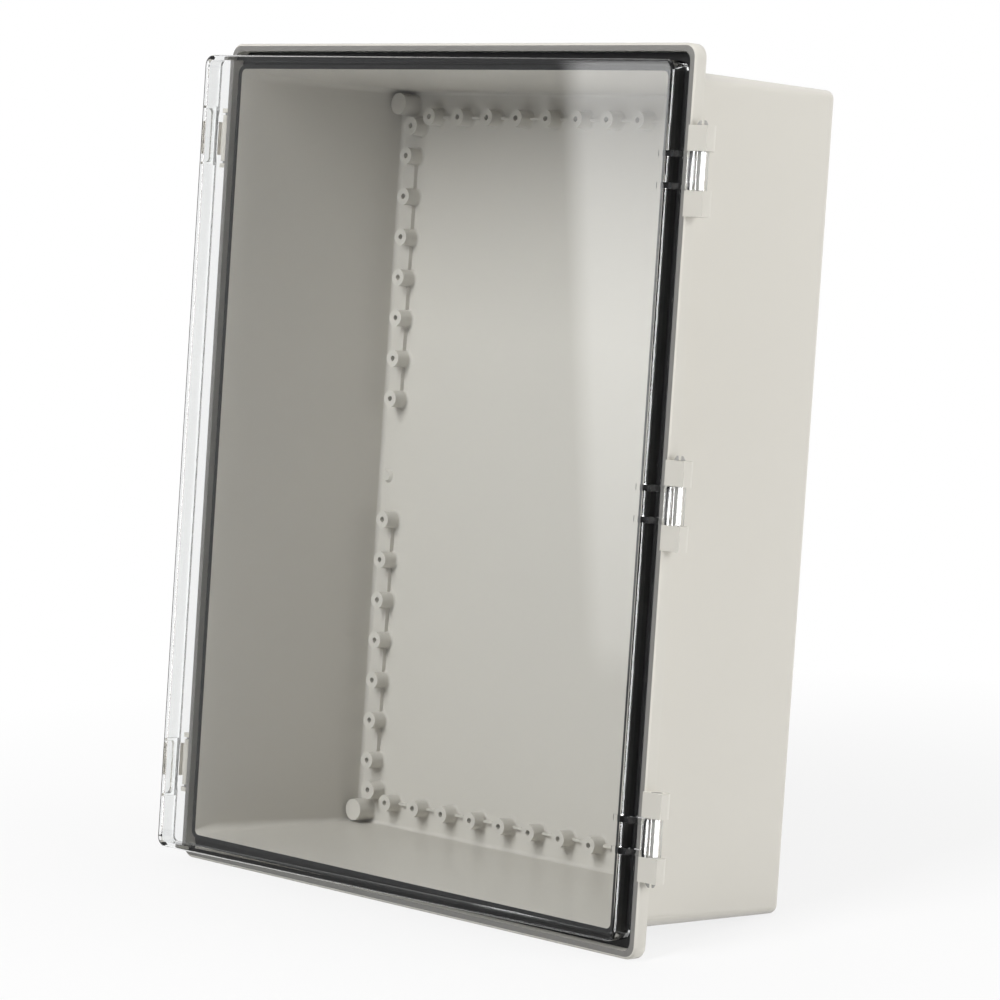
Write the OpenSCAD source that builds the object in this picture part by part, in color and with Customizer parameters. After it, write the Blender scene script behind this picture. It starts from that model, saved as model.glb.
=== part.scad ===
// Wall enclosure with a clear hinged door.
// A moulded box carries a seal in its front flange, three hinge pins and a tray-shaped clear door.
// Two latches on the flange hook over the door's edge.
// The latches are drawn folded back and the door a little ajar, as they stand at rest.
// X is to the right, Y to the back and Z up. The origin is the centre of the wall face.

/* [Box] */
// Width of the front flange
flange_w = 384; // [340:2:440]
// Height of the front flange
flange_h = 500; // [470:2:560]
// Distance from the wall face to the back edge of the flange's side
box_depth = 128; // [100:1:170]
// Thickness of the side walls
wall_t = 3.5; // [3:0.1:4.2]
// Thickness of the back wall
back_t = 4; // [3:0.5:6]
// How far the flange stands out beyond the side walls
overhang = 13.5; // [13:0.5:16]
// Radius of the four long edges of the box
box_r = 10; // [8:1:14]
// Radius of the back edges of the box
back_edge_r = 5; // [4:0.5:7]
// Inward slope of each wall from the flange to the back
draft = 1; // [0.5:0.1:2]

/* [Flange and seal] */
// Depth of the flange's side face
flange_side = 8; // [7.5:0.5:11]
// Slanted step behind the flange's side face
flange_step = 4; // [3:0.5:5]
// Radius of the flange corners
flange_r = 8; // [7:0.5:12]
// Bevel on the flange's front edge
flange_bevel = 1.4; // [0.8:0.1:1.8]
// Thickness of the outer lip
lip_t = 4.5; // [4:0.1:5]
// Thickness of the groove's floor
groove_floor_t = 2.5; // [2:0.1:3]
// How far the inner rim stands in front of the lip
rim_proud = 2.5; // [1.5:0.1:2.8]
// Thickness of the inner rim
rim_t = 1.5; // [1.3:0.1:1.9]
// Thickness of the seal
seal_t = 3; // [2.5:0.1:3.5]
// Play between the seal and the groove's sides
seal_play = 0.3; // [0.2:0.1:0.6]
// Gap between the seal and the shut door
seal_gap = 0.3; // [0.25:0.05:0.6]

/* [Door] */
// Distance from the flange edge to the door edge
door_inset = 9.5; // [9:0.1:10]
// How far the shut door stands in front of the flange
door_proud = 7.5; // [6.5:0.5:10]
// Thickness of the door's side walls
skirt_t = 3; // [2.5:0.1:3.2]
// Thickness of the door's front panel
panel_t = 3; // [2.5:0.1:3.5]
// Radius of the door corners
door_r = 6; // [5:0.5:8]
// Radius of the door's front edge
door_edge_r = 1.7; // [1:0.1:2.2]
// Angle by which the door stands open at rest
door_rest = 3.4; // [2:0.1:8]

/* [Hinges] */
// Distance from the flange's ends to the outer hinges
hinge_edge = 69; // [60:1:100]
// Height of each hinge block
block_h = 14; // [12:0.5:16]
// Width of each hinge block beyond the flange
block_out = 12.8; // [12:0.1:15]
// How far the blocks stand in front of the flange
block_proud = 1.5; // [1:0.1:2]
// Gap between the two blocks of a hinge
knuckle_gap = 21.4; // [18:0.2:26]
// Distance from the flange side to the hinge axis
axis_out = 5.6; // [5.4:0.1:6.4]
// Distance from the flange front back to the hinge axis
axis_back = 2.5; // [2:0.1:3.2]
// Diameter of the hinge pin
pin_d = 4; // [3.4:0.1:4.4]
// Play around the pin
pin_play = 0.05; // [0.03:0.01:0.08]
// Outer radius of the door's knuckle
knuckle_r = 4.6; // [4.2:0.1:5]

/* [Latches] */
// Distance from the flange's ends to the latches
latch_edge = 57.5; // [45:0.5:100]
// Height of the pair of lugs that carries a latch
lug_span = 36; // [34:0.5:42]
// Thickness of each lug
lug_t = 2.5; // [2:0.1:3]
// Height of the latch
latch_h = 28; // [24:0.5:29]
// Height of the latch's hook
hook_h = 20; // [14:0.5:24]
// Thickness of the latch
latch_t = 2.4; // [2:0.1:2.6]
// Outer radius of the latch barrel
barrel_r = 2.4; // [2.2:0.05:2.6]
// Diameter of the latch pin
latch_pin_d = 2.5; // [2.2:0.1:2.8]
// Angle by which the latch is folded back at rest
latch_fold = 180; // [150:1:188]

/* [Inside] */
// Pitch of the small bosses
boss_pitch = 25.5; // [22:0.1:30]
// Diameter of the small bosses
boss_d = 10.5; // [9:0.1:12]
// Height of the small bosses
boss_h = 10.5; // [8:0.5:16]
// Diameter of the screw holes in the bosses
boss_hole_d = 3.4; // [2.8:0.1:4.2]
// Distance from the side wall to the columns of bosses
column_edge = 16; // [15:0.5:20]
// Distance from the top and bottom walls to the rows of bosses
row_edge = 17; // [16:0.5:21]
// Diameter of the four wall posts
post_d = 13.5; // [12:0.5:15]
// Height of the four wall posts
post_h = 13.5; // [12:0.5:18]
// Diameter of the blind wall holes
wall_hole_d = 5; // [4:0.1:6]
// Depth of the blind wall holes
wall_hole_depth = 13; // [8:0.5:14]

/* [Hidden] */
$fn = 48;
hull_fn = 32;
edge_steps = 3;
embed = 1;
skin = 0.1;

// Planes along the depth, from the wall face forward
y_edge_back = -box_depth;
y_flange_front = y_edge_back - flange_side;
y_flange_back = y_edge_back + flange_step;
y_groove = y_flange_back - groove_floor_t;
y_seal_top = y_groove - seal_t;
y_rim_front = y_flange_front - rim_proud;
y_door_back = y_seal_top - seal_gap;
y_door_front = y_flange_front - door_proud;

// Box and cavity
box_w = flange_w - 2 * overhang;
box_h = flange_h - 2 * overhang;
inner_w = box_w - 2 * wall_t;
inner_h = box_h - 2 * wall_t;
inner_edge_r = 2.5;

// Groove between the lip and the rim
lip_inner_w = flange_w - 2 * lip_t;
lip_inner_h = flange_h - 2 * lip_t;
lip_ease = 2;
lip_inner_r = flange_r - lip_t + lip_ease;
rim_relief = 0.6;
rim_w = box_w - 2 * rim_relief;
rim_h = box_h - 2 * rim_relief;
rim_r = 5;
bead_w = 5;
bead_h = 0.8;
bead_ease = 1;
leg_play = 0.1;
leg_t = 0.7;
cap_t = 0.7;

// Door
door_w = flange_w - 2 * door_inset;
door_h = flange_h - 2 * door_inset;
arm_gap = 0.7;
arm_t = 3.2;
arm_lead = 1.5;
web_lap = 0.4;
arm_h = 3.4;
stub_in = 4.5;
stub_gap = 0.5;
catch_span = 32.4;
catch_rib_t = 1.5;
catch_out = 3;
catch_depth = 9.8;
catch_bar = 2.4;
catch_r = 3;

// Hinges
hinge_z = flange_h / 2 - hinge_edge;
axis_x = flange_w / 2 + axis_out;
axis_y = y_flange_front + axis_back;
axial_gap = 0.3;
knuckle_h = knuckle_gap - 2 * axial_gap;
hinge_half = knuckle_gap / 2 + block_h;
block_r = 5;
block_back_gap = 0.5;
head_d = 6.4;
head_t = 1.6;
head_play = 0.2;
snap_d = 6.4;
snap_tip_d = 3.6;
snap_h = 2.4;
snap_slot = 1.4;
snap_slot_depth = 8;
snap_turn = 45;

// Latches
latch_z = flange_h / 2 - latch_edge;
lug_r = 3;
lug_out = 3.8;
lug_lead = 3.5;
pivot_x = -(flange_w / 2 + lug_out);
pivot_y = y_edge_back - lug_lead;
hook_gap = 0.7;
hook_back_y = y_flange_front - hook_gap;
hook_front_y = hook_back_y - latch_t;
tip_play = 0.4;
tip_side_play = 0.6;
tip_t = 2;
tip_x = -(door_w / 2 + tip_side_play);
tip_y = y_door_back - catch_bar - tip_play;
tab_out = 1.6;
shoulder_lead = 3;
shoulder_x = pivot_x + shoulder_lead;
shoulder = (latch_h - hook_h) / 2;
latch_pin_play = 0.02;
barrel_play = 0.07;

// Bosses, ribs and posts
column_x = inner_w / 2 - column_edge;
row_z = inner_h / 2 - row_edge;
end_clear = 15;
row_half = floor((column_x - end_clear) / boss_pitch + 0.5);
column_half = floor((row_z - end_clear) / boss_pitch + 0.5);
corner_in = 2.5;
corner_down = 6;
corner_boss_x = column_x - corner_in;
corner_boss_z = row_z - corner_down;
corner_boss_d = 11.5;
boss_floor_t = 1.5;
rib_t = 1.6;
rib_h = 3;
rib_clear = 1;
post_edge = 9.5;
post_x = inner_w / 2 - post_edge;
post_z = inner_h / 2 - post_edge;
pip_d = 10;
pip_tip_d = 6;
pip_h = 2;
pip_edge = 8;
pip_x = -(inner_w / 2 - pip_edge);
pip_z = -11;

// Basic shapes

// Rectangle with rounded corners
module rounded_rectangle(w, h, r) {
    square([w - 2 * r, h], center = true);
    square([w, h - 2 * r], center = true);
    for (x = [-1, 1], y = [-1, 1])
        translate([x * (w / 2 - r), y * (h / 2 - r)])
            circle(r);
}

// Upright plate with rounded corners between two depths
module plate(w, h, r, y0, y1) {
    translate([0, y1, 0])
        rotate([90, 0, 0])
            linear_extrude(height = y1 - y0)
                rounded_rectangle(w, h, r);
}

// Block given by its corners
module block(low, high) {
    translate(low)
        cube(high - low);
}

// Cylinder that points forward from depth y
module forward_cylinder(x, y, z, d, h) {
    translate([x, y, z])
        rotate([90, 0, 0])
            cylinder(d = d, h = h);
}

// Turns the children about an upright axis
module turned(x, y, angle) {
    translate([x, y, 0])
        rotate([0, 0, angle])
            translate([-x, -y, 0])
                children();
}

// Brings the shut door and what it carries to the rest pose
module on_door() {
    turned(axis_x, axis_y, door_rest)
        children();
}

// Base box

// Tapered solid from the flange to rounded back edges
module tapered_box(w, h, r, y0, y1, back, edge) {
    hull() {
        plate(w, h, r, y0, y1, $fn = hull_fn);
        for (x = [-1, 1], z = [-1, 1])
            translate([x * (w / 2 - draft - edge), back - edge, z * (h / 2 - draft - edge)])
                sphere(edge, $fn = hull_fn);
    }
}

// Flange with a bevelled front edge and a slanted back step
module flange_solid() {
    hull() {
        plate(flange_w - 2 * flange_bevel, flange_h - 2 * flange_bevel, flange_r - flange_bevel,
            y_flange_front, y_flange_front + skin, $fn = hull_fn);
        plate(flange_w, flange_h, flange_r, y_flange_front + flange_bevel, y_edge_back, $fn = hull_fn);
        plate(flange_w - 2 * flange_step, flange_h - 2 * flange_step, flange_r - flange_step,
            y_flange_back - skin, y_flange_back, $fn = hull_fn);
    }
}

// Hinge block on the flange's right side, with a rounded back corner
module hinge_block(z0) {
    x0 = flange_w / 2 - embed;
    x1 = flange_w / 2 + block_out;
    y0 = y_flange_front - block_proud;
    y1 = y_edge_back + block_back_gap;
    translate([0, 0, z0])
        linear_extrude(height = block_h) {
            translate([x0, y0])
                square([x1 - x0 - block_r, y1 - y0]);
            translate([x0, y0])
                square([x1 - x0, y1 - y0 - block_r]);
            translate([x1 - block_r, y1 - block_r])
                circle(block_r);
        }
}

// Bore for a hinge pin, with a counterbore for its head; up is 1 where the snap end is on top
module hinge_bore(z, up) {
    bore_d = pin_d + 2 * pin_play;
    translate([axis_x, axis_y, z]) {
        cylinder(d = bore_d, h = 2 * hinge_half + 2 * embed, center = true);
        mirror([0, 0, up > 0 ? 0 : 1])
            translate([0, 0, -hinge_half - embed])
                cylinder(d = head_d + 2 * head_play, h = head_t + head_play + embed);
    }
}

// Thin rim around the opening that stands in front of the lip
module rim_solid() {
    plate(rim_w, rim_h, rim_r, y_rim_front, y_flange_back);
}

// Groove for the seal between the lip and the rim
module seal_groove() {
    difference() {
        plate(lip_inner_w, lip_inner_h, lip_inner_r, y_flange_front - embed, y_groove);
        plate(rim_w, rim_h, rim_r, y_rim_front - embed, y_groove + embed);
    }
}

// Flared mouth of the cavity, which leaves the rim thin at its front
module rim_mouth() {
    hull() {
        plate(rim_w - 2 * rim_t, rim_h - 2 * rim_t, rim_r - rim_t,
            y_rim_front - embed, y_rim_front + skin, $fn = hull_fn);
        plate(inner_w, inner_h, box_r - wall_t, y_flange_back - skin, y_flange_back, $fn = hull_fn);
    }
}

// Lug on the flange's left side that carries a latch pin
module latch_lug(z0) {
    translate([0, 0, z0])
        linear_extrude(height = lug_t) {
            translate([pivot_x, pivot_y - lug_r])
                square([lug_out + embed, 2 * lug_r]);
            translate([pivot_x, pivot_y])
                circle(lug_r);
        }
}

// Bore through a pair of lugs
module lug_bore(z) {
    translate([pivot_x, pivot_y, z])
        cylinder(d = latch_pin_d + 2 * latch_pin_play, h = lug_span + 2 * embed, center = true);
}

// Boss on the back wall with a blind screw hole
module boss(x, z, d) {
    difference() {
        forward_cylinder(x, -back_t + embed, z, d, boss_h + embed);
        forward_cylinder(x, -back_t - boss_floor_t, z, boss_hole_d, boss_h);
    }
}

// Rows and columns of bosses, with a gap in the middle of each column
module boss_frame() {
    for (side = [-1, 1], k = [0 : row_half - 1], way = [-1, 1])
        boss(way * (k + 0.5) * boss_pitch, side * row_z, boss_d);
    for (side = [-1, 1], k = [1 : column_half - 1], way = [-1, 1])
        boss(side * column_x, way * (k + 0.5) * boss_pitch, boss_d);
    for (x = [-1, 1], z = [-1, 1])
        boss(x * corner_boss_x, z * corner_boss_z, corner_boss_d);
}

// Low ribs that tie each line of bosses together
module boss_ribs() {
    row_end = (row_half - 0.5) * boss_pitch;
    y0 = -back_t - rib_h;
    y1 = -back_t + embed;
    clear = boss_hole_d / 2 + rib_clear;
    for (side = [-1, 1], k = [0 : 2 * row_half - 2])
        block([-row_end + k * boss_pitch + clear, y0, side * row_z - rib_t / 2],
            [-row_end + (k + 1) * boss_pitch - clear, y1, side * row_z + rib_t / 2]);
    for (side = [-1, 1], way = [-1, 1], k = [1 : column_half - 2])
        block([side * column_x - rib_t / 2, y0, way * (k + 1) * boss_pitch - boss_pitch / 2 + clear],
            [side * column_x + rib_t / 2, y1, way * (k + 1) * boss_pitch + boss_pitch / 2 - clear]);
}

// Closed post around a blind wall hole
module wall_post(x, z) {
    forward_cylinder(x, -back_t + embed, z, post_d, post_h + embed);
}

module base_box() {
    color([0.85, 0.835, 0.80])
        difference() {
            union() {
                difference() {
                    union() {
                        tapered_box(box_w, box_h, box_r, y_flange_back - embed, y_flange_back,
                            0, back_edge_r);
                        flange_solid();
                        rim_solid();
                        for (k = [-1, 0, 1]) {
                            hinge_block(k * hinge_z + knuckle_gap / 2);
                            hinge_block(k * hinge_z - hinge_half);
                        }
                        for (side = [-1, 1]) {
                            latch_lug(side * latch_z + lug_span / 2 - lug_t);
                            latch_lug(side * latch_z - lug_span / 2);
                        }
                    }
                    tapered_box(inner_w, inner_h, box_r - wall_t, y_rim_front - embed, y_flange_back,
                        -back_t, inner_edge_r);
                    rim_mouth();
                    seal_groove();
                    for (k = [-1, 0, 1])
                        hinge_bore(k * hinge_z, k < 0 ? -1 : 1);
                    for (side = [-1, 1])
                        lug_bore(side * latch_z);
                }
                boss_frame();
                boss_ribs();
                for (x = [-1, 1], z = [-1, 1])
                    wall_post(x * post_x, z * post_z);
                translate([pip_x, -back_t + embed, pip_z])
                    rotate([90, 0, 0])
                        cylinder(d1 = pip_d, d2 = pip_tip_d, h = pip_h + embed);
            }
            for (x = [-1, 1], z = [-1, 1])
                forward_cylinder(x * post_x, embed, z * post_z, wall_hole_d, wall_hole_depth + embed);
        }
}

// Seal

// Flat strip in the groove with a raised bead that the door presses on
module seal_strip(w, h, hole_w, hole_h) {
    bead_inset = ((w - hole_w) / 2 - bead_w) / 2;
    difference() {
        plate(w, h, lip_inner_r, y_seal_top + bead_h, y_groove);
        plate(hole_w, hole_h, rim_r, y_seal_top - embed, y_groove + embed);
    }
    difference() {
        plate(w - 2 * bead_inset, h - 2 * bead_inset, lip_inner_r - bead_ease,
            y_seal_top, y_seal_top + bead_h + embed);
        plate(hole_w + 2 * bead_inset, hole_h + 2 * bead_inset, rim_r + bead_ease,
            y_seal_top - embed, y_seal_top + bead_h + 2 * embed);
    }
}

// Leg on the outside of the rim and cap over its front
module seal_leg(hole_w, hole_h) {
    mouth_w = rim_w - 2 * rim_t;
    mouth_h = rim_h - 2 * rim_t;
    difference() {
        plate(hole_w + 2 * leg_t, hole_h + 2 * leg_t, rim_r + leg_t, y_rim_front - cap_t, y_groove);
        plate(hole_w, hole_h, rim_r, y_rim_front, y_groove + embed);
        plate(mouth_w, mouth_h, rim_r - rim_t, y_rim_front - cap_t - embed, y_groove + embed);
    }
}

module door_seal() {
    hole_w = rim_w + 2 * leg_play;
    hole_h = rim_h + 2 * leg_play;
    color([0.09, 0.09, 0.09]) {
        seal_strip(lip_inner_w - 2 * seal_play, lip_inner_h - 2 * seal_play, hole_w, hole_h);
        seal_leg(hole_w, hole_h);
    }
}

// Door

// Tray with a front edge that is rounded in steps
module door_tray() {
    difference() {
        hull() {
            for (turn = [0 : 90 / edge_steps : 90]) {
                inset = door_edge_r * (1 - sin(turn));
                y0 = y_door_front + door_edge_r * (1 - cos(turn));
                plate(door_w - 2 * inset, door_h - 2 * inset, door_r - inset, y0, y0 + skin, $fn = hull_fn);
            }
            plate(door_w, door_h, door_r, y_door_front + door_edge_r, y_door_back, $fn = hull_fn);
        }
        plate(door_w - 2 * skirt_t, door_h - 2 * skirt_t, door_r - skirt_t,
            y_door_front + panel_t, y_door_back + embed);
    }
}

// Arm from the door's front edge over the lip to a knuckle, with a low stub behind the panel
module knuckle_arm(z0, arm_front, arm_back) {
    side_x = door_w / 2;
    wall_x = side_x - skirt_t / 2;
    slope_x = axis_x - knuckle_r;
    end_x = axis_x + arm_lead;
    panel_back = y_door_front + panel_t;
    translate([0, 0, z0])
        linear_extrude(height = arm_h)
            polygon([
                [wall_x, y_door_front], [side_x, y_door_front], [slope_x, arm_front],
                [end_x, arm_front], [end_x, arm_back], [wall_x, arm_back]
            ]);
    block([side_x - skirt_t - stub_in, panel_back - embed, z0],
        [wall_x, y_rim_front - cap_t - stub_gap, z0 + arm_h]);
}

// Knuckle on two arms
module door_knuckle(z) {
    half = knuckle_h / 2;
    arm_back = y_flange_front - arm_gap;
    arm_front = arm_back - arm_t;
    translate([axis_x, axis_y, z])
        cylinder(r = knuckle_r, h = knuckle_h, center = true);
    block([axis_x - knuckle_r + web_lap, arm_front, z - half], [axis_x + arm_lead, axis_y, z + half]);
    for (z0 = [z - half, z + half - arm_h])
        knuckle_arm(z0, arm_front, arm_back);
}

// Catch for a latch: two ribs on the door's side wall, with a bar between them at the back
module latch_catch(z) {
    outer_h = catch_span + 2 * catch_rib_t;
    pocket_d = catch_depth - catch_bar;
    translate([-door_w / 2 + embed, y_door_back, z])
        rotate([90, 0, -90])
            linear_extrude(height = catch_out + embed)
                difference() {
                    translate([0, -outer_h / 2])
                        square([catch_depth, outer_h]);
                    translate([catch_bar + catch_r, -catch_span / 2])
                        square([pocket_d, catch_span]);
                    translate([catch_bar, -catch_span / 2 + catch_r])
                        square([pocket_d, catch_span - 2 * catch_r]);
                    for (way = [-1, 1])
                        translate([catch_bar + catch_r, way * (catch_span / 2 - catch_r)])
                            circle(catch_r);
                }
}

module clear_door() {
    color([0.80, 0.85, 0.88, 0.35])
        on_door()
            difference() {
                union() {
                    door_tray();
                    for (k = [-1, 0, 1])
                        door_knuckle(k * hinge_z);
                    for (side = [-1, 1])
                        latch_catch(side * latch_z);
                }
                for (k = [-1, 0, 1])
                    translate([axis_x, axis_y, k * hinge_z])
                        cylinder(d = pin_d + 2 * pin_play, h = knuckle_h + 2 * embed, center = true);
            }
}

// Hinge pins

// Pin with a flat head at one end and a split snap at the other; up is 1 where the snap end is on top
module hinge_pin(z, up) {
    neck = hinge_half + head_play;
    color([0.78, 0.78, 0.76])
        translate([axis_x, axis_y, z])
            mirror([0, 0, up > 0 ? 0 : 1])
                difference() {
                    union() {
                        translate([0, 0, -hinge_half])
                            cylinder(d = pin_d, h = 2 * hinge_half + embed);
                        translate([0, 0, -hinge_half])
                            cylinder(d = head_d, h = head_t);
                        translate([0, 0, neck])
                            cylinder(d1 = snap_d, d2 = snap_tip_d, h = snap_h);
                    }
                    rotate([0, 0, snap_turn])
                        translate([-snap_slot / 2, -snap_d, neck + snap_h - snap_slot_depth])
                            cube([snap_slot, 2 * snap_d, snap_slot_depth + embed]);
                }
}

module hinge_pin_top() {
    hinge_pin(hinge_z, 1);
}

module hinge_pin_middle() {
    hinge_pin(0, 1);
}

module hinge_pin_bottom() {
    hinge_pin(-hinge_z, -1);
}

// Latches

// Side view of the shut latch: barrel, arm, hook over the lip with its tip behind it, and finger edge
module latch_profile() {
    translate([pivot_x, pivot_y])
        circle(barrel_r);
    translate([pivot_x - latch_t / 2, hook_front_y])
        square([latch_t, pivot_y - hook_front_y]);
    translate([pivot_x - tab_out, hook_front_y])
        square([tip_x - pivot_x + tab_out, latch_t]);
    translate([pivot_x - tab_out, hook_front_y + latch_t / 2])
        circle(latch_t / 2);
    translate([tip_x - tip_t, hook_front_y])
        square([tip_t, tip_y - hook_front_y]);
}

// Front view of the latch, which narrows to the hook
module latch_outline() {
    tab_end = tab_out + latch_t;
    half = latch_h / 2;
    hook_half = hook_h / 2;
    polygon([
        [pivot_x - tab_end, -half], [shoulder_x, -half], [shoulder_x + shoulder, -hook_half],
        [tip_x, -hook_half], [tip_x, hook_half],
        [shoulder_x + shoulder, hook_half], [shoulder_x, half], [pivot_x - tab_end, half]
    ]);
}

// Latch in its shut place
module latch_body(z) {
    difference() {
        translate([0, 0, z])
            intersection() {
                translate([0, 0, -latch_h / 2])
                    linear_extrude(height = latch_h)
                        latch_profile();
                translate([0, pivot_y + barrel_r + embed, 0])
                    rotate([90, 0, 0])
                        linear_extrude(height = pivot_y + barrel_r - hook_front_y + 2 * embed)
                            latch_outline();
            }
        translate([pivot_x, pivot_y, z])
            cylinder(d = latch_pin_d + 2 * barrel_play, h = latch_h + 2 * embed, center = true);
    }
}

// Latch folded back, as it rests
module latch(z) {
    color([0.80, 0.795, 0.77])
        turned(pivot_x, pivot_y, -latch_fold)
            latch_body(z);
}

module latch_upper() {
    latch(latch_z);
}

module latch_lower() {
    latch(-latch_z);
}

// Pin through the lugs and the barrel of a latch
module latch_pin(z) {
    color([0.72, 0.72, 0.73])
        translate([pivot_x, pivot_y, z])
            cylinder(d = latch_pin_d, h = lug_span, center = true);
}

module latch_pin_upper() {
    latch_pin(latch_z);
}

module latch_pin_lower() {
    latch_pin(-latch_z);
}

base_box();
door_seal();
clear_door();
hinge_pin_top();
hinge_pin_middle();
hinge_pin_bottom();
latch_upper();
latch_lower();
latch_pin_upper();
latch_pin_lower();
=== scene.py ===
"""Dresses the wall enclosure and sets it in a pale studio.

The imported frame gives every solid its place. This script gives the moulded box, the seal, the clear
door, the latches and the pins their finishes, softens their edges, adds the fillets at the feet of the
bosses, and sets up the floor, the lamps and the camera.
"""

import logging
import math
from dataclasses import dataclass, field
from enum import Enum, IntEnum
from typing import Any

import bmesh
import bpy
from mathutils import Matrix, Vector

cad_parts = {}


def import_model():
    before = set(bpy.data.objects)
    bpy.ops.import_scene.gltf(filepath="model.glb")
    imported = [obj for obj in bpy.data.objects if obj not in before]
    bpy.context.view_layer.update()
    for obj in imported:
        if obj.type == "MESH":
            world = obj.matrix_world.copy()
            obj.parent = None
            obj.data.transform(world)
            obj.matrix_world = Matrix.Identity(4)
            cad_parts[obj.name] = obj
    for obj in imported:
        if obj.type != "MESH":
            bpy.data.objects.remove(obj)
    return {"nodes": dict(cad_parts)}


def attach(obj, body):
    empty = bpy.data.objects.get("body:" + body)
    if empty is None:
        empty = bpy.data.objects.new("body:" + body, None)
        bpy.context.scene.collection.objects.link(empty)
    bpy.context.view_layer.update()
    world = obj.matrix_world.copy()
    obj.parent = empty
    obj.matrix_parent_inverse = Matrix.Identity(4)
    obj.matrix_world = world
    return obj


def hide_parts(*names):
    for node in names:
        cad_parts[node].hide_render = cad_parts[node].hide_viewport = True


frame: dict[str, Any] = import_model()
log = logging.getLogger("enclosure")

Colour = tuple[float, float, float]
Point = tuple[float, float, float]
Pair = tuple[float, float]
Socket = bpy.types.NodeSocket

WHITE: Colour = (1.0, 1.0, 1.0)
# Parts of a noise's range over which a finish changes its tone and its roughness.
TONE_RANGE: Pair = (0.35, 0.65)
ROUGHNESS_RANGE: Pair = (0.3, 0.7)
BUMP_STRENGTH = 0.5
# Corners of a solid that lie closer than this, in metres, are one corner.
MERGE_DISTANCE = 1e-6
# How far wide faces outweigh narrow ones in the normals of their corners, from 1 to 100.
AREA_WEIGHT = 100


class Body(str, Enum):
    """The bodies that pieces ride on."""

    BASE = "base"
    DOOR = "door"
    UPPER_LATCH = "upper_latch"
    LOWER_LATCH = "lower_latch"


class Slot(str, Enum):
    """The record's material slots."""

    BOX = "abs_box"
    SEAL = "seal"
    DOOR = "clear_door"
    HINGE_PIN = "hinge_pin"
    LATCH = "abs_latch"
    LATCH_PIN = "latch_pin"


class BoxFinish(IntEnum):
    """The finishes of the moulded box, in the order of its materials."""

    OUTSIDE = 0
    INSIDE = 1
    # Painted shade on the flange's front face.
    LAND = 2
    # Painted shade on the hinge blocks' fronts.
    BLOCK = 3


class DoorFinish(IntEnum):
    """The finishes of the clear door, in the order of its materials."""

    CLEAR = 0
    EDGE = 1


class NodeSheet:
    """A node tree that is filled by short calls."""

    def __init__(self, tree: bpy.types.NodeTree) -> None:
        """Keeps the tree and empties it."""
        self.tree = tree
        self.tree.nodes.clear()

    def add(self, kind: str, settings: dict[str, Any] | None = None, **inputs: Any) -> bpy.types.Node:
        """Adds a node.

        Args:
            kind: The node's type name.
            settings: Values for the node's own properties.
            inputs: Values or output sockets for its inputs, by name with spaces as underscores.

        Returns:
            The new node.
        """
        node = self.tree.nodes.new(kind)
        for key, value in (settings or {}).items():
            setattr(node, key, value)
        for key, value in inputs.items():
            self.feed(node.inputs[key.replace("_", " ")], value)
        return node

    def feed(self, socket: Socket, value: Any) -> None:
        """Links an output socket to an input, or sets the input's own value."""
        if isinstance(value, Socket):
            self.tree.links.new(value, socket)
        else:
            socket.default_value = value

    def maths(self, operation: str, first: Any, second: Any = 0.0) -> Socket:
        """Returns the result of one sum on two numbers or sockets."""
        node = self.add("ShaderNodeMath", {"operation": operation})
        self.feed(node.inputs[0], first)
        self.feed(node.inputs[1], second)
        return node.outputs[0]

    def product(self, first: Any, *others: Any) -> Socket:
        """Returns the product of numbers or sockets."""
        for other in others:
            first = self.maths("MULTIPLY", first, other)
        return first

    def span(self, value: Any, low: float, high: float, to_low: Any, to_high: Any) -> Socket:
        """Returns a number moved from one range to another and kept inside it."""
        node = self.add("ShaderNodeMapRange", {"clamp": True})
        for socket, number in zip(node.inputs, (value, low, high, to_low, to_high)):
            self.feed(socket, number)
        return node.outputs[0]

    def blend(self, share: Any, first: Any, second: Any) -> Socket:
        """Returns a mix of two colours."""
        node = self.add("ShaderNodeMix", {"data_type": "RGBA"})
        self.feed(node.inputs[0], share)
        self.feed(node.inputs[6], first)
        self.feed(node.inputs[7], second)
        return node.outputs[2]

    def mix(self, share: Any, first: Socket, second: Socket) -> Socket:
        """Returns a mix of two shaders."""
        node = self.add("ShaderNodeMixShader")
        self.feed(node.inputs[0], share)
        self.feed(node.inputs[1], first)
        self.feed(node.inputs[2], second)
        return node.outputs[0]


def rgba(colour: Colour) -> tuple[float, float, float, float]:
    """Returns a colour with full alpha."""
    return (*colour, 1.0)


def new_sheet(name: str) -> tuple[bpy.types.Material, NodeSheet]:
    """Returns a new material and its empty node sheet."""
    material = bpy.data.materials.new(name)
    material.use_nodes = True
    return material, NodeSheet(material.node_tree)


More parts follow.
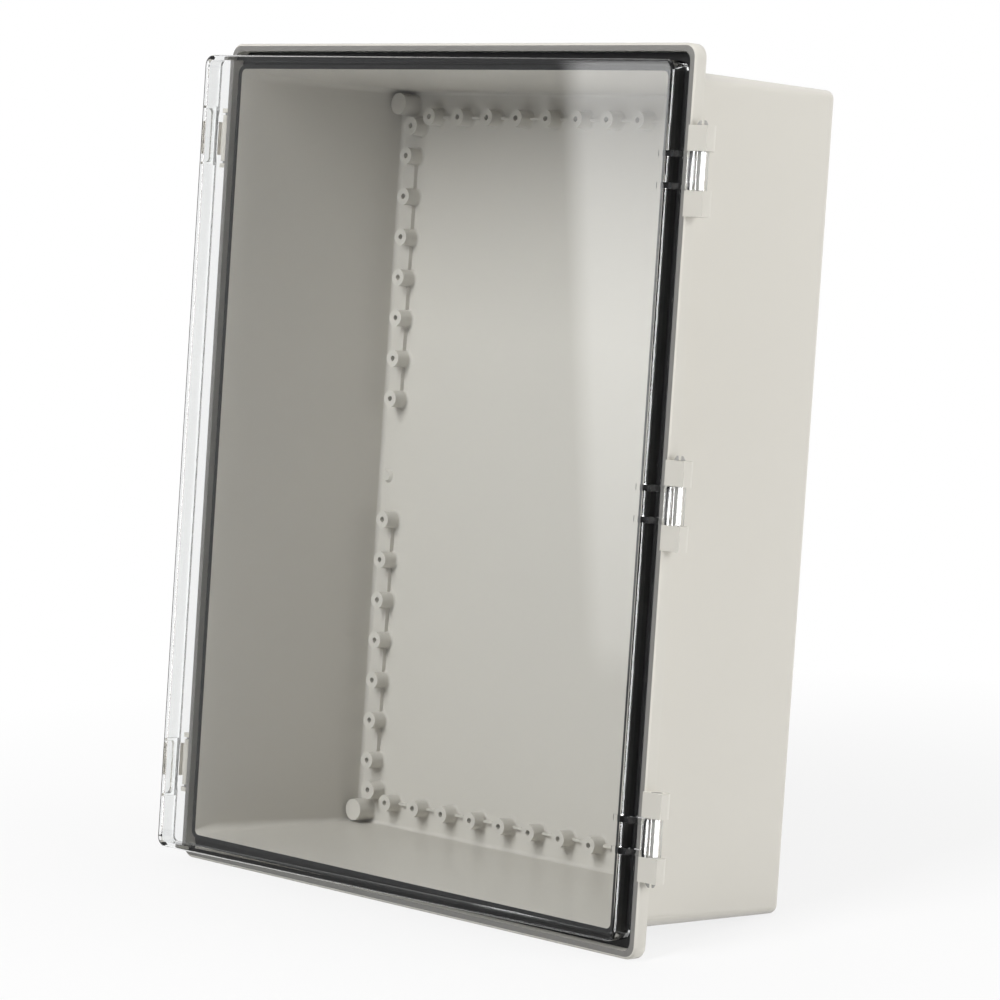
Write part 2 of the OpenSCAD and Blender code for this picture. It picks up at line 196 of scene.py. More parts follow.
@dataclass(frozen=True)
class MouldedFinish:
    """Moulded plastic with a fine grain and a slow drift of tone.

    Attributes:
        name: Name of the material.
        colour: Main colour.
        drift: Colour that the surface drifts towards in broad patches.
        roughness: Mean roughness.
        swing: Half the spread of the roughness.
        grain: Grains per metre.
        relief: Height of the grain in metres.
        patch: Patches of tone per metre.
        index: Refractive index.
    """

    name: str
    colour: Colour
    drift: Colour
    roughness: float
    swing: float = 0.03
    grain: float = 1400.0
    relief: float = 0.00001
    patch: float = 4.0
    index: float = 1.53

    def material(self) -> bpy.types.Material:
        """Returns the finish as a material."""
        material, sheet = new_sheet(self.name)
        place = sheet.add("ShaderNodeTexCoord").outputs["Object"]
        patches = sheet.add("ShaderNodeTexNoise", Vector=place, Scale=self.patch, Detail=1.0).outputs[0]
        grains = sheet.add("ShaderNodeTexNoise", Vector=place, Scale=self.grain, Detail=2.0).outputs[0]
        share = sheet.span(patches, *TONE_RANGE, 0.0, 1.0)
        tone = sheet.blend(share, rgba(self.colour), rgba(self.drift))
        least, most = self.roughness - self.swing, self.roughness + self.swing
        rough = sheet.span(patches, *ROUGHNESS_RANGE, least, most)
        bump = sheet.add("ShaderNodeBump", Height=grains, Distance=self.relief, Strength=BUMP_STRENGTH)
        shader = sheet.add(
            "ShaderNodeBsdfPrincipled",
            Base_Color=tone,
            Roughness=rough,
            IOR=self.index,
            Normal=bump.outputs[0],
        )
        sheet.add("ShaderNodeOutputMaterial", Surface=shader.outputs[0])
        return material


@dataclass(frozen=True)
class ClearFinish:
    """Clear polished plastic that lets the lamps through.

    Attributes:
        name: Name of the material.
        tint: Colour of what is seen through it.
        index: Refractive index.
        gloss: Colour of its reflections.
    """

    name: str
    tint: Colour
    index: float
    gloss: Colour = WHITE

    def material(self) -> bpy.types.Material:
        """Returns the finish as a material."""
        material, sheet = new_sheet(self.name)
        shader = sheet.add(
            "ShaderNodeBsdfPrincipled",
            Base_Color=rgba(self.tint),
            Roughness=0.0,
            IOR=self.index,
            Transmission_Weight=1.0,
            Specular_Tint=rgba(self.gloss),
        )
        lamp_way = sheet.add("ShaderNodeBsdfTransparent", Color=rgba(self.tint))
        path = sheet.add("ShaderNodeLightPath")
        passes = sheet.maths("MAXIMUM", path.outputs["Is Shadow Ray"], path.outputs["Is Diffuse Ray"])
        seen = sheet.mix(passes, shader.outputs[0], lamp_way.outputs[0])
        sheet.add("ShaderNodeOutputMaterial", Surface=seen)
        return material


@dataclass(frozen=True)
class FoamFinish:
    """Black foam rubber with fine pores.

    Attributes:
        name: Name of the material.
        colour: Colour of the skin.
        pore: Colour of the pores.
        pores: Pores per metre.
        rim: Distances from a pore's middle, in cells, between which the pore gives way to the skin.
        roughness: Roughness in a pore's middle and on the skin.
        reach: Distance from a pore's middle, in cells, at which the skin's own roughness begins.
        relief: Depth of the pores in metres.
    """

    name: str
    colour: Colour
    pore: Colour
    pores: float
    rim: Pair = (0.1, 0.5)
    roughness: Pair = (0.62, 0.48)
    reach: float = 0.6
    relief: float = 0.0001

    def material(self) -> bpy.types.Material:
        """Returns the finish as a material."""
        material, sheet = new_sheet(self.name)
        place = sheet.add("ShaderNodeTexCoord").outputs["Object"]
        cells = sheet.add("ShaderNodeTexVoronoi", Vector=place, Scale=self.pores).outputs["Distance"]
        share = sheet.span(cells, *self.rim, 1.0, 0.0)
        tone = sheet.blend(share, rgba(self.colour), rgba(self.pore))
        rough = sheet.span(cells, 0.0, self.reach, *self.roughness)
        bump = sheet.add("ShaderNodeBump", Height=cells, Distance=self.relief, Strength=BUMP_STRENGTH)
        shader = sheet.add(
            "ShaderNodeBsdfPrincipled", Base_Color=tone, Roughness=rough, Normal=bump.outputs[0]
        )
        sheet.add("ShaderNodeOutputMaterial", Surface=shader.outputs[0])
        return material


@dataclass(frozen=True)
class DrawnFinish:
    """Drawn steel wire with fine lines along its length.

    Attributes:
        name: Name of the material.
        colour: Colour of the bright lines.
        line: Colour of the dull lines.
        roughness: Mean roughness.
        swing: How far the roughness falls below its mean and rises above it.
        lines: Lines per metre across the wire.
        stretch: Share of those along the wire.
    """

    name: str
    colour: Colour
    line: Colour
    roughness: float
    swing: Pair = (0.06, 0.08)
    lines: float = 2500.0
    stretch: float = 0.02

    def material(self) -> bpy.types.Material:
        """Returns the finish as a material."""
        material, sheet = new_sheet(self.name)
        place = sheet.add("ShaderNodeTexCoord").outputs["Object"]
        stretched = sheet.add("ShaderNodeMapping", Vector=place, Scale=(1.0, 1.0, self.stretch)).outputs[0]
        lines = sheet.add("ShaderNodeTexNoise", Vector=stretched, Scale=self.lines, Detail=2.0).outputs[0]
        share = sheet.span(lines, *TONE_RANGE, 0.0, 1.0)
        tone = sheet.blend(share, rgba(self.colour), rgba(self.line))
        fall, rise = self.swing
        rough = sheet.span(lines, *ROUGHNESS_RANGE, self.roughness - fall, self.roughness + rise)
        shader = sheet.add("ShaderNodeBsdfPrincipled", Base_Color=tone, Roughness=rough, Metallic=1.0)
        sheet.add("ShaderNodeOutputMaterial", Surface=shader.outputs[0])
        return material


BOX_FINISH = MouldedFinish("box_plastic", (0.655, 0.634, 0.579), (0.645, 0.624, 0.569), 0.44)
INSIDE_FINISH = MouldedFinish(
    "inside_plastic", (0.645, 0.622, 0.576), (0.635, 0.612, 0.566), 0.34, relief=0.000004
)
# Painted shade: the flange's front face lies in shade, so it gets a dark copy of the box plastic.
LAND_SHADE_FINISH = MouldedFinish("land_plastic", (0.208, 0.203, 0.193), (0.198, 0.193, 0.183), 0.40)
# Painted shade: the hinge blocks' fronts lie in shade, so they get a darker copy of the box plastic.
BLOCK_FRONT_SHADE_FINISH = MouldedFinish("front_plastic", (0.572, 0.554, 0.506), (0.563, 0.545, 0.497), 0.44)
LATCH_FINISH = MouldedFinish("latch_plastic", (0.640, 0.620, 0.570), (0.625, 0.605, 0.560), 0.40)
# Painted shade: the pins' cream plastic is drawn darker, for the shade that outlines them against the hinge
# blocks.
PIN_SHADE_FINISH = MouldedFinish("pin_plastic", (0.36, 0.355, 0.335), (0.34, 0.335, 0.32), 0.28)
DOOR_FINISH = ClearFinish("clear_plastic", (0.965, 0.972, 0.972), 1.58)
# Painted shade: the door's rounded left edge gets nearly black clear plastic with dim reflections, for the
# dark line that it shows.
EDGE_SHADE_FINISH = ClearFinish("clear_edge", (0.012, 0.012, 0.012), 1.58, (0.1, 0.1, 0.1))
SEAL_FINISH = FoamFinish("seal_foam", (0.016, 0.016, 0.017), (0.008, 0.008, 0.008), 1600.0)
WIRE_FINISH = DrawnFinish("latch_wire", (0.62, 0.62, 0.63), (0.50, 0.50, 0.52), 0.32)


def merged_copy(node: str, name: str, crease: float = 50.0) -> bpy.types.Object:
    """Makes a merged copy of a solid whose curves and bevels look round and whose other edges are crisp.

    Args:
        node: The solid to copy.
        name: Name of the copy.
        crease: Angle in degrees from which an edge stays crisp.

    Returns:
        The copy, linked to the scene.
    """
    sheet = bmesh.new()
    sheet.from_mesh(frame["nodes"][node].data)
    bmesh.ops.remove_doubles(sheet, verts=sheet.verts, dist=MERGE_DISTANCE)
    for face in sheet.faces:
        face.smooth = True
    for edge in sheet.edges:
        edge.smooth = len(edge.link_faces) == 2 and edge.calc_face_angle() < math.radians(crease)
    mesh = bpy.data.meshes.new(name)
    sheet.to_mesh(mesh)
    sheet.free()
    if "custom_normal" in mesh.attributes:
        mesh.attributes.remove(mesh.attributes["custom_normal"])
    piece = bpy.data.objects.new(name, mesh)
    bpy.context.scene.collection.objects.link(piece)
    flatten_wide_faces(piece)
    return piece


def flatten_wide_faces(piece: bpy.types.Object) -> None:
    """Weights a piece's normals by area, so that wide faces look flat and the bevels between them round."""
    modifier = piece.modifiers.new("wide_faces", "WEIGHTED_NORMAL")
    modifier.mode = "FACE_AREA"
    modifier.weight = AREA_WEIGHT
    modifier.keep_sharp = True
    graph = bpy.context.evaluated_depsgraph_get()
    mesh = bpy.data.meshes.new_from_object(piece.evaluated_get(graph))
    piece.modifiers.remove(modifier)
    flat, piece.data = piece.data, mesh
    mesh.name = piece.name
    bpy.data.meshes.remove(flat)


def settle(piece: bpy.types.Object, body: Body, slot: Slot, *nodes: str) -> bpy.types.Object:
    """Lets a piece stand for its solids and move with its body.

    Args:
        piece: The finished piece.
        body: The body that it rides on.
        slot: The record's material slot; not used.
        nodes: The solids that it stands for.

    Returns:
        The piece.
    """
    if nodes:
        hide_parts(*nodes)
    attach(piece, body.value)
    log.info("%s rides on %s", piece.name, body.value)
    return piece


@dataclass
class MouldedBox:
    """The moulded box with its flange, hinge blocks and bosses.

    Attributes:
        inside_half: Half the cavity's width, its front plane and half its height, in metres.
        floor: Depth, in metres, that lies between the back wall's two faces.
        land: Depth of the flange's front face, in metres.
        slack: How far from that depth a face of the land may lie, in metres.
        side: Distance from the middle, in metres, just past the flange, where the hinge blocks stand out.
        facing: Least share of a front face's normal that points to the front.
    """

    inside_half: Point = (0.1767, -0.1390, 0.2347)
    floor: float = -0.003
    land: float = -0.136
    slack: float = 0.0002
    side: float = 0.1922
    facing: float = 0.9

    def build(self) -> bpy.types.Object:
        """Returns the dressed shell."""
        shell = merged_copy("base_box", "box_shell")
        self.dress(shell)
        return settle(shell, Body.BASE, Slot.BOX, "base_box")

    def dress(self, shell: bpy.types.Object) -> None:
        """Gives each face of the shell its finish, with painted shade on the flange's front face and the
        hinge blocks' fronts.
        """
        for finish in (BOX_FINISH, INSIDE_FINISH, LAND_SHADE_FINISH, BLOCK_FRONT_SHADE_FINISH):
            shell.data.materials.append(finish.material())
        for face in shell.data.polygons:
            face.material_index = self.finish_of(face).value

    def finish_of(self, face: bpy.types.MeshPolygon) -> BoxFinish:
        """Tells the cavity, the fronts of the hinge blocks, the flange's front and the rest apart; both
        fronts get painted shade.
        """
        half_x, front_y, half_z = self.inside_half
        x, y, z = face.center
        if abs(x) < half_x and abs(z) < half_z and front_y < y < self.floor:
            return BoxFinish.INSIDE
        if face.normal.y >= -self.facing:
            return BoxFinish.OUTSIDE
        # Painted shade: the hinge blocks' fronts get a darker copy of the box plastic.
        if x > self.side:
            return BoxFinish.BLOCK
        # Painted shade: the flange's front face gets a dark copy of the box plastic.
        return BoxFinish.LAND if abs(y - self.land) < self.slack else BoxFinish.OUTSIDE


@dataclass(frozen=True)
class BossLine:
    """A straight line of equal round feet on the back wall.

    Attributes:
        start: Place of the first foot across and up, in metres.
        step: Way to the next foot across and up, in metres.
        count: Number of feet.
        radius: Radius of the boss on each foot, in metres.
    """

    start: Pair
    step: Pair
    count: int
    radius: float


@dataclass
class BossFeet:
    """The moulded fillets at the feet of the bosses and posts.

    Attributes:
        column_x: Distance of the columns of bosses from the middle, in metres.
        row_z: Distance of the rows of bosses from the middle.
        pitch: Distance between bosses.
        row_count: Bosses in a row.
        column_count: Bosses in half a column.
        column_start: Pitches from the middle to the first boss of half a column.
        corner: Place of the larger bosses across and up.
        post: Place of the wall posts across and up.
        radii: Radii of the small bosses, the larger bosses and the posts.
        wall: Depth of the back wall's front face.
        fillet: Radius of the fillets.
        bury: How far the feet reach into the wall and the boss.
        sides: Sides of each ring.
        steps: Steps along the fillet's arc.
    """

    column_x: float = 0.159
    row_z: float = 0.216
    pitch: float = 0.0255
    row_count: int = 12
    column_count: int = 7
    column_start: float = 1.5
    corner: Pair = (0.1565, 0.210)
    post: Pair = (0.1655, 0.2235)
    radii: tuple[float, float, float] = (0.00525, 0.00575, 0.00675)
    wall: float = -0.004
    fillet: float = 0.0011
    bury: float = 0.0003
    sides: int = 32
    steps: int = 4

    def build(self) -> bpy.types.Object:
        """Returns all the feet as one piece."""
        finish = INSIDE_FINISH.material()
        tree = self.tree(finish)
        joined = bmesh.new()
        for line in self.lines():
            spread = self.spread(tree, line)
            joined.from_mesh(spread)
            bpy.data.meshes.remove(spread)
        mesh = bpy.data.meshes.new("boss_feet")
        joined.to_mesh(mesh)
        joined.free()
        mesh.materials.clear()
        mesh.materials.append(finish)
        feet = bpy.data.objects.new("boss_feet", mesh)
        bpy.context.scene.collection.objects.link(feet)
        return settle(feet, Body.BASE, Slot.BOX)

    def lines(self) -> list[BossLine]:
        """Returns the rows, the half columns and the pairs of larger bosses and posts."""
        small, large, post = self.radii
        first_x = -(self.row_count - 1) / 2 * self.pitch
        first_z = self.column_start * self.pitch
        lines = []
        for way in (-1, 1):
            lines.append(BossLine((first_x, way * self.row_z), (self.pitch, 0.0), self.row_count, small))
            for side in (-1, 1):
                start, step = (side * self.column_x, way * first_z), (0.0, way * self.pitch)
                lines.append(BossLine(start, step, self.column_count, small))
            for (x, z), radius in ((self.corner, large), (self.post, post)):
                lines.append(BossLine((-x, way * z), (2 * x, 0.0), 2, radius))
        return lines

    def tree(self, finish: bpy.types.Material) -> bpy.types.NodeTree:
        """Makes the node tree that sets a foot at each place of a line.

        Args:
            finish: The material of the feet.

        Returns:
            The tree, with the inputs Start, Step, Count and Foot.
        """
        tree = bpy.data.node_groups.new("boss_line", "GeometryNodeTree")
        tree.interface.new_socket("Geometry", in_out="OUTPUT", socket_type="NodeSocketGeometry")
        for name, kind in (("Start", "Vector"), ("Step", "Vector"), ("Count", "Int"), ("Foot", "Object")):
            tree.interface.new_socket(name, in_out="INPUT", socket_type=f"NodeSocket{kind}")
        sheet = NodeSheet(tree)
        given = sheet.add("NodeGroupInput").outputs
        line = sheet.add(
            "GeometryNodeMeshLine",
            {"mode": "OFFSET"},
            Count=given["Count"],
            Start_Location=given["Start"],
            Offset=given["Step"],
        )
        foot = sheet.add("GeometryNodeObjectInfo", Object=given["Foot"])
        spread = sheet.add(
            "GeometryNodeInstanceOnPoints", Points=line.outputs[0], Instance=foot.outputs["Geometry"]
        )
        real = sheet.add("GeometryNodeRealizeInstances", Geometry=spread.outputs[0])
        dressed = sheet.add("GeometryNodeSetMaterial", Geometry=real.outputs[0], Material=finish)
        sheet.add("NodeGroupOutput", Geometry=dressed.outputs[0])
        return tree

    def spread(self, tree: bpy.types.NodeTree, line: BossLine) -> bpy.types.Mesh:
        """Runs the tree for one line of feet.

        Args:
            tree: The tree that spreads a foot.
            line: The line of feet.

        Returns:
            A plain mesh of all its feet.
        """
        foot = self.foot(line.radius)
        carrier = bpy.data.objects.new("boss_carrier", bpy.data.meshes.new("boss_carrier"))
        for piece in (foot, carrier):
            bpy.context.scene.collection.objects.link(piece)
        modifier = carrier.modifiers.new("boss_line", "NODES")
        modifier.node_group = tree
        values = {
            "Start": (line.start[0], self.wall, line.start[1]),
            "Step": (line.step[0], 0.0, line.step[1]),
            "Count": line.count,
            "Foot": foot,
        }
        for socket in tree.interface.items_tree:
            if socket.in_out == "INPUT":
                modifier[socket.identifier] = values[socket.name]
        graph = bpy.context.evaluated_depsgraph_get()
        mesh = bpy.data.meshes.new_from_object(carrier.evaluated_get(graph))
        for piece in (carrier, foot):
            bpy.data.objects.remove(piece)
        return mesh

    def foot(self, radius: float) -> bpy.types.Object:
        """Returns one ring with a hollow fillet between the wall and a boss of the given radius."""
        inner, outer = radius - self.bury, radius + self.fillet
        outline = [(inner, self.bury), (outer, self.bury)]
        for step in range(self.steps + 1):
            turn = math.pi / 2 * (1 + step / self.steps)
            outline.append((outer + self.fillet * math.cos(turn), self.fillet * (math.sin(turn) - 1)))
        outline.append((inner, -self.fillet))
        ring = bmesh.new()
        loops = []
        for side in range(self.sides):
            turn = 2 * math.pi * side / self.sides
            loops.append([ring.verts.new((r * math.cos(turn), y, r * math.sin(turn))) for r, y in outline])
        for loop, following in zip(loops, loops[1:] + loops[:1]):
            for point in range(len(outline)):
                ahead = (point + 1) % len(outline)
                ring.faces.new((loop[point], loop[ahead], following[ahead], following[point])).smooth = True
        bmesh.ops.recalc_face_normals(ring, faces=ring.faces)
        mesh = bpy.data.meshes.new("boss_foot")
        ring.to_mesh(mesh)
        ring.free()
        return bpy.data.objects.new("boss_foot", mesh)


@dataclass
class FoamSeal:
    """The seal in the flange's groove."""

    def build(self) -> bpy.types.Object:
        """Returns the dressed seal."""
        seal = merged_copy("door_seal", "seal_strip")
        seal.data.materials.append(SEAL_FINISH.material())
        return settle(seal, Body.BASE, Slot.SEAL, "door_seal")


@dataclass
class HingePins:
    """The three split pins of the hinges."""

    levels: tuple[str, ...] = ("top", "middle", "bottom")

    def build(self) -> list[bpy.types.Object]:
        """Returns the dressed pins."""
        # Painted shade: the pins get a darker finish than their own cream plastic.
        finish = PIN_SHADE_FINISH.material()
        pins = []
        for level in self.levels:
            pin = merged_copy(f"hinge_pin_{level}", f"split_pin_{level}")
            pin.data.materials.append(finish)
            pins.append(settle(pin, Body.BASE, Slot.HINGE_PIN, f"hinge_pin_{level}"))
        return pins


@dataclass
class ClearDoor:
    """The clear tray-shaped door with its knuckles and its catches.

    Attributes:
        rest_angle: Angle in degrees by which the door stands open at rest.
        slant: Least share of a face's normal to the front and to the left on the rounded left edge.
    """

    rest_angle: float = 3.4
    slant: float = 0.2

    def build(self) -> bpy.types.Object:
        """Returns the dressed door."""
        door = merged_copy("clear_door", "door_tray")
        self.dress(door)
        return settle(door, Body.DOOR, Slot.DOOR, "clear_door")

    def dress(self, door: bpy.types.Object) -> None:
        """Gives the rounded left edge nearly black clear plastic as painted shade for its dark line, and
        the rest a clear finish.
        """
        for finish in (DOOR_FINISH, EDGE_SHADE_FINISH):
            door.data.materials.append(finish.material())
        shut = Matrix.Rotation(math.radians(-self.rest_angle), 3, "Z")
        for face in door.data.polygons:
            way = shut @ face.normal
            rounded = way.x < -self.slant and way.y < -self.slant
            face.material_index = (DoorFinish.EDGE if rounded else DoorFinish.CLEAR).value


@dataclass
class Latches:
    """The two latches and their wire pins."""

    places: dict[str, Body] = field(
        default_factory=lambda: {"upper": Body.UPPER_LATCH, "lower": Body.LOWER_LATCH}
    )

    def build(self) -> list[bpy.types.Object]:
        """Returns the dressed latches and pins."""
        plastic, wire = LATCH_FINISH.material(), WIRE_FINISH.material()
        pieces = []
        for place, body in self.places.items():
            latch = merged_copy(f"latch_{place}", f"{place}_latch_body")
            latch.data.materials.append(plastic)
            pieces.append(settle(latch, body, Slot.LATCH, f"latch_{place}"))
            pin = merged_copy(f"latch_pin_{place}", f"{place}_latch_wire")
            pin.data.materials.append(wire)
            pieces.append(settle(pin, Body.BASE, Slot.LATCH_PIN, f"latch_pin_{place}"))
        return pieces


@dataclass(frozen=True)
class Softbox:
    """One soft lamp.

    Attributes:
        name: Name of the lamp.
        place: Where it stands, in metres.
        aim: The point that it faces.
        size: Its width and height in metres.
        power: Its power in watts.
    """

    name: str
    place: Point
    aim: Point
    size: Pair
    power: float

    def build(self) -> bpy.types.Object:
        """Returns the lamp."""
        lamp = bpy.data.lights.new(self.name, "AREA")
        lamp.shape = "RECTANGLE"
        lamp.size, lamp.size_y = self.size
        lamp.energy = self.power
        holder = bpy.data.objects.new(self.name, lamp)
        holder.location = self.place
        holder.rotation_mode = "QUATERNION"
        holder.rotation_quaternion = (Vector(self.aim) - Vector(self.place)).to_track_quat("-Z", "Y")
        holder.visible_camera = False
        holder.visible_glossy = False
        holder.visible_transmission = False
        bpy.context.scene.collection.objects.link(holder)
        return holder


@dataclass(frozen=True)
class Surroundings:
    """What the gloss and the clear plastic show of the studio, by direction.

    Attributes:
        backdrop: Brightness of the white backdrop behind the box.
        room: Brightness of the unlit room.
        backdrop_edges: Sums of a ray's shares to the back and to the left, between which the room gives way
            to the backdrop.
        card: Brightness of the pale card in front of the box at its lower and its upper end.
        card_reach: Heights of those ends, as the sine of the angle above the horizon.
        card_foot: Heights between which the card fades out at the bottom.
        card_edges: Angles in degrees, to the left of straight ahead, between which the card stands.
        card_lean: Turn of those angles with height, in radians.
        card_blur: Half the width in degrees of the card's soft edges.
        strip: Brightness of the tall lamp to the right of the box in a polished face.
        strip_matt: Share of that brightness on matt faces.
        strip_edges: Angles in degrees, to the left of straight ahead, between which the tall lamp stands.
        strip_blur: Half the width in degrees of the tall lamp's soft edges.
        strip_foot: Heights between which the tall lamp fades in at the bottom.
        strip_head: Heights between which it fades out at the top.
    """

    backdrop: float = 1.0
    room: float = 0.22
    backdrop_edges: Pair = (0.1, 0.7)
    card: Pair = (0.85, 2.4)
    card_reach: Pair = (-0.09, 0.06)
    card_foot: Pair = (-0.105, -0.089)
    card_edges: Pair = (28.0, 37.2)
    card_lean: float = 0.10
    card_blur: float = 0.2
    strip: float = 12.0
    strip_matt: float = 0.08
    strip_edges: Pair = (-118.0, -50.0)
    strip_blur: float = 3.0
    strip_foot: Pair = (-0.185, -0.165)
    strip_head: Pair = (0.09, 0.11)

    def strength(self, sheet: NodeSheet) -> Socket:
        """Returns the brightness along a ray, which is white straight on and straight through the door.

        Args:
            sheet: The world's node sheet.

        Returns:
            The brightness as a socket.
        """
        ray = sheet.add("ShaderNodeTexCoord").outputs["Generated"]
        way = sheet.add("ShaderNodeSeparateXYZ", Vector=ray)
        path = sheet.add("ShaderNodeLightPath").outputs
        left, ahead = (sheet.maths("MULTIPLY", way.outputs[axis], -1.0) for axis in ("X", "Y"))
        behind_left = sheet.maths("SUBTRACT", left, ahead)
        mirrored = sheet.span(behind_left, *self.backdrop_edges, self.room, self.backdrop)
        angle = sheet.maths("ARCTAN2", left, ahead)
        height = way.outputs["Z"]
        card = self.card_glow(sheet, angle, height)
        strip = self.strip_glow(sheet, angle, height, path["Is Singular Ray"])
        for glow in (card, strip):
            mirrored = sheet.maths("MAXIMUM", mirrored, glow)
        unmirrored = sheet.maths("LESS_THAN", path["Glossy Depth"], 1.0)
        straight = sheet.product(unmirrored, path["Is Transmission Ray"])
        direct = sheet.maths("MAXIMUM", straight, path["Is Camera Ray"])
        return sheet.span(direct, 0.0, 1.0, mirrored, self.backdrop)

    def card_glow(self, sheet: NodeSheet, angle: Socket, height: Socket) -> Socket:
        """Returns the brightness of the pale card along a ray of the given angle and height."""
        leaning = sheet.maths("SUBTRACT", angle, sheet.product(height, self.card_lean))
        edges = self.panel_glow(sheet, leaning, 1.0, self.card_edges, self.card_blur)
        tone = sheet.span(height, *self.card_reach, *self.card)
        foot = sheet.span(height, *self.card_foot, 0.0, 1.0)
        return sheet.product(edges, tone, foot)

    def strip_glow(self, sheet: NodeSheet, angle: Socket, height: Socket, polish: Socket) -> Socket:
        """Returns the brightness of the tall lamp along a ray, full at a polish of 1 and faint at 0."""
        edges = self.panel_glow(sheet, angle, self.strip, self.strip_edges, self.strip_blur)
        polished = sheet.span(polish, 0.0, 1.0, self.strip_matt, 1.0)
        foot = sheet.span(height, *self.strip_foot, 0.0, 1.0)
        head = sheet.span(height, *self.strip_head, 1.0, 0.0)
        return sheet.product(edges, polished, foot, head)

    @staticmethod
    def panel_glow(sheet: NodeSheet, angle: Socket, glow: float, edges: Pair, blur: float) -> Socket:
        """Returns the brightness of an upright panel along a ray.

        Args:
            sheet: The world's node sheet.
            angle: The ray's angle from straight ahead of the box to its left, in radians.
            glow: The panel's brightness.
            edges: Angles in degrees between which the panel stands.
            blur: Half the width in degrees of its soft edges.

        Returns:
            The brightness as a socket.
        """
        first, last, soft = (math.radians(part) for part in (*edges, blur))
        begins = sheet.span(angle, first - soft, first + soft, 0.0, glow)
        ends = sheet.span(angle, last - soft, last + soft, 1.0, 0.0)
        return sheet.product(begins, ends)


@dataclass
class Studio:
    """The floor, the world's light and the lamps.

    Attributes:
        touch: The point under the flange where the box meets the floor, as depth and height in metres.
        lean: Angle in degrees by which the box leans back on the floor.
        reach: Half the floor's side in metres.
        fade: Distances from the origin, in metres, between which the floor's own shading fades out.
        shade: Share of real shading in the floor's colour near the box.
        floor_colour: The floor's own colour.
        ambient: Strength of the world's light.
        surroundings: What the gloss and the clear plastic show.
        lamps: The soft lamps.
    """

    touch: Pair = (-0.128, -0.250)
    lean: float = 6.7
    reach: float = 12.0
    fade: Pair = (0.20, 0.70)
    shade: float = 0.22
    floor_colour: Colour = (0.70, 0.70, 0.70)
    ambient: float = 0.10
    surroundings: Surroundings = Surroundings()
    lamps: tuple[Softbox, ...] = (
        Softbox("right_softbox", (2.2, 0.7, 0.4), (0.1, -0.05, -0.05), (1.6, 1.8), 47.5),
        Softbox("front_softbox", (0.1, -2.4, 1.35), (0.0, -0.1, 0.0), (0.9, 2.0), 66.0),
        Softbox("left_softbox", (-2.2, 0.9, 0.5), (-0.1, -0.05, -0.05), (1.4, 1.6), 20.0),
        Softbox("top_softbox", (0.1, 0.1, 2.3), (0.0, -0.05, 0.0), (1.6, 1.0), 15.0),
    )

    def build(self) -> None:
        """Makes the floor, the world and the lamps."""
        self.floor()
        self.world()
        for lamp in self.lamps:
            lamp.build()
        bpy.context.scene.view_settings.view_transform = "Standard"

    def floor(self) -> None:
        """Makes the floor that the leaning box stands on."""
        lean = math.radians(self.lean)
        run, rise = math.cos(lean) * self.reach, math.sin(lean) * self.reach
        depth, height = self.touch
        corners = [
            (side * self.reach, depth + way * run, height + way * rise)
            for side, way in ((-1, -1), (1, -1), (1, 1), (-1, 1))
        ]
        mesh = bpy.data.meshes.new("studio_floor")
        mesh.from_pydata(corners, [], [(0, 1, 2, 3)])
        mesh.materials.append(self.floor_material())
        plane = bpy.data.objects.new("studio_floor", mesh)
        plane.visible_glossy = False
        plane.visible_transmission = False
        bpy.context.scene.collection.objects.link(plane)

    def floor_material(self) -> bpy.types.Material:
        """Returns the pale floor, white far away and with the object's shadow near it."""
        material, sheet = new_sheet("pale_floor")
        place = sheet.add("ShaderNodeTexCoord").outputs["Object"]
        away = sheet.add("ShaderNodeVectorMath", {"operation": "LENGTH"})
        sheet.feed(away.inputs[0], place)
        near = sheet.span(away.outputs["Value"], *self.fade, self.shade, 0.0)
        matt = sheet.add("ShaderNodeBsdfDiffuse", Color=rgba(self.floor_colour))
        white = sheet.add("ShaderNodeEmission", Color=rgba(WHITE), Strength=1.0)
        seen = sheet.mix(near, white.outputs[0], matt.outputs[0])
        sheet.add("ShaderNodeOutputMaterial", Surface=sheet.mix(shown(sheet), matt.outputs[0], seen))
        return material

    def world(self) -> None:
        """Makes a world that is white to the eye and a plain soft light to the object."""
        world = bpy.data.worlds.new("studio_world")
        world.use_nodes = True
        sheet = NodeSheet(world.node_tree)
        view = sheet.product(shown(sheet), self.surroundings.strength(sheet))
        rest = sheet.product(sheet.maths("SUBTRACT", 1.0, shown(sheet)), self.ambient)
        strength = sheet.maths("ADD", view, rest)
        light = sheet.add("ShaderNodeBackground", Color=rgba(WHITE), Strength=strength)
        sheet.add("ShaderNodeOutputWorld", Surface=light.outputs[0])
        bpy.context.scene.world = world


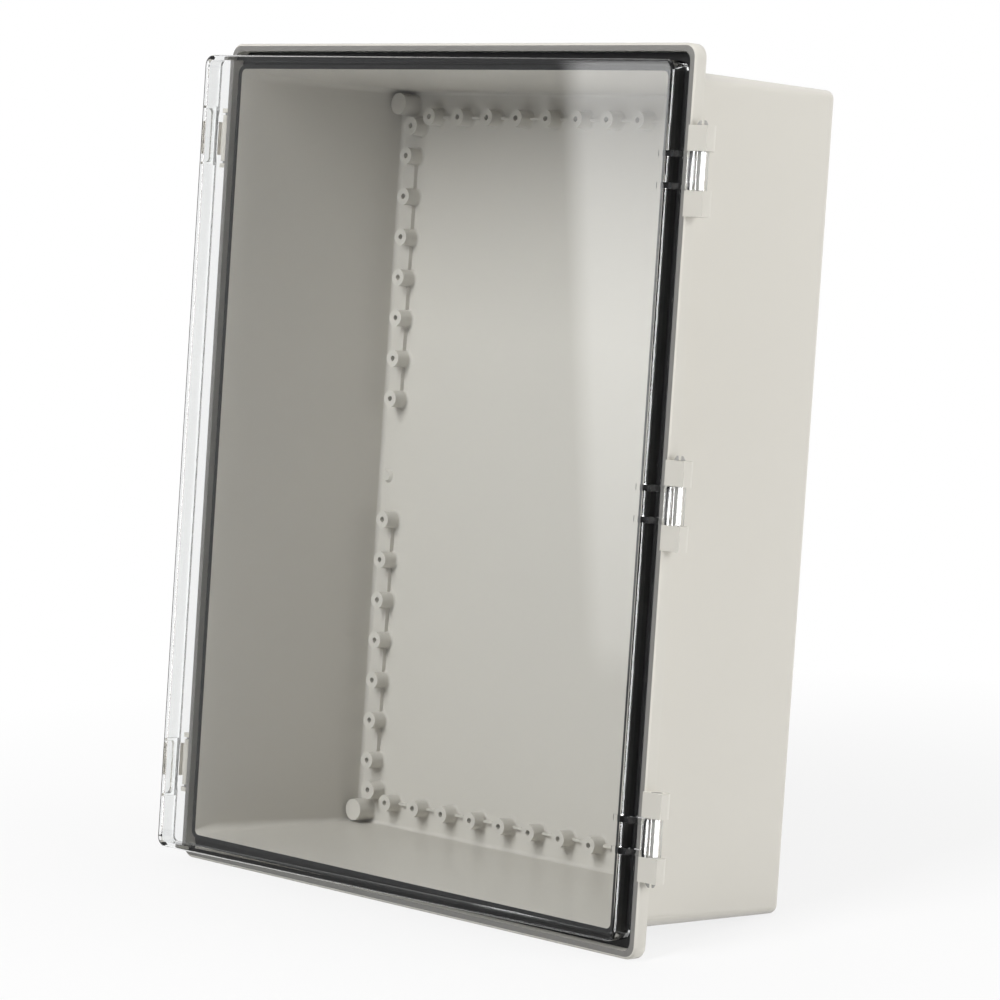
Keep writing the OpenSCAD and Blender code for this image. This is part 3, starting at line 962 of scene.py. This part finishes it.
def shown(sheet: NodeSheet) -> Socket:
    """Returns 1 for rays that show the background: from the camera, in gloss and through clear plastic."""
    path = sheet.add("ShaderNodeLightPath")
    straight = sheet.maths("MAXIMUM", path.outputs["Is Camera Ray"], path.outputs["Is Transmission Ray"])
    return sheet.maths("MAXIMUM", straight, path.outputs["Is Glossy Ray"])


@dataclass
class Viewpoint:
    """The camera at the photograph's viewing angle.

    Attributes:
        place: Where the camera stands, in metres.
        yaw: Turn about the vertical, in radians, from looking along +Y.
        pitch: Downward tilt in radians.
        roll: Turn about the line of sight, in radians.
        lens: Focal length in millimetres.
        sensor: Width of the sensor in millimetres.
        clip: Nearest and farthest distance that is drawn, in metres.
    """

    place: Point = (1.55445, -1.62560, 0.10489)
    yaw: float = 0.78536
    pitch: float = 0.05352
    roll: float = 0.06624
    lens: float = 134.207
    sensor: float = 36.0
    clip: Pair = (0.05, 60.0)

    def build(self) -> bpy.types.Object:
        """Returns the camera, set as the scene's own."""
        flat_right = Vector((math.cos(self.yaw), math.sin(self.yaw), 0.0))
        ahead = Vector((
            -math.sin(self.yaw) * math.cos(self.pitch),
            math.cos(self.yaw) * math.cos(self.pitch),
            -math.sin(self.pitch),
        ))
        flat_up = flat_right.cross(ahead)
        right = math.cos(self.roll) * flat_right + math.sin(self.roll) * flat_up
        up = math.cos(self.roll) * flat_up - math.sin(self.roll) * flat_right
        turn = Matrix((right, up, -ahead)).transposed()
        lens = bpy.data.cameras.new("studio_camera")
        lens.lens = self.lens
        lens.sensor_width = self.sensor
        lens.clip_start, lens.clip_end = self.clip
        camera = bpy.data.objects.new("studio_camera", lens)
        camera.matrix_world = Matrix.Translation(self.place) @ turn.to_4x4()
        bpy.context.scene.collection.objects.link(camera)
        bpy.context.scene.camera = camera
        return camera


def main() -> None:
    """Builds the camera, the pieces and the studio."""
    logging.basicConfig(level=logging.INFO, format="%(message)s")
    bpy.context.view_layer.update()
    Viewpoint().build()
    MouldedBox().build()
    BossFeet().build()
    FoamSeal().build()
    HingePins().build()
    ClearDoor().build()
    Latches().build()
    Studio().build()


if __name__ == "__main__":
    main()
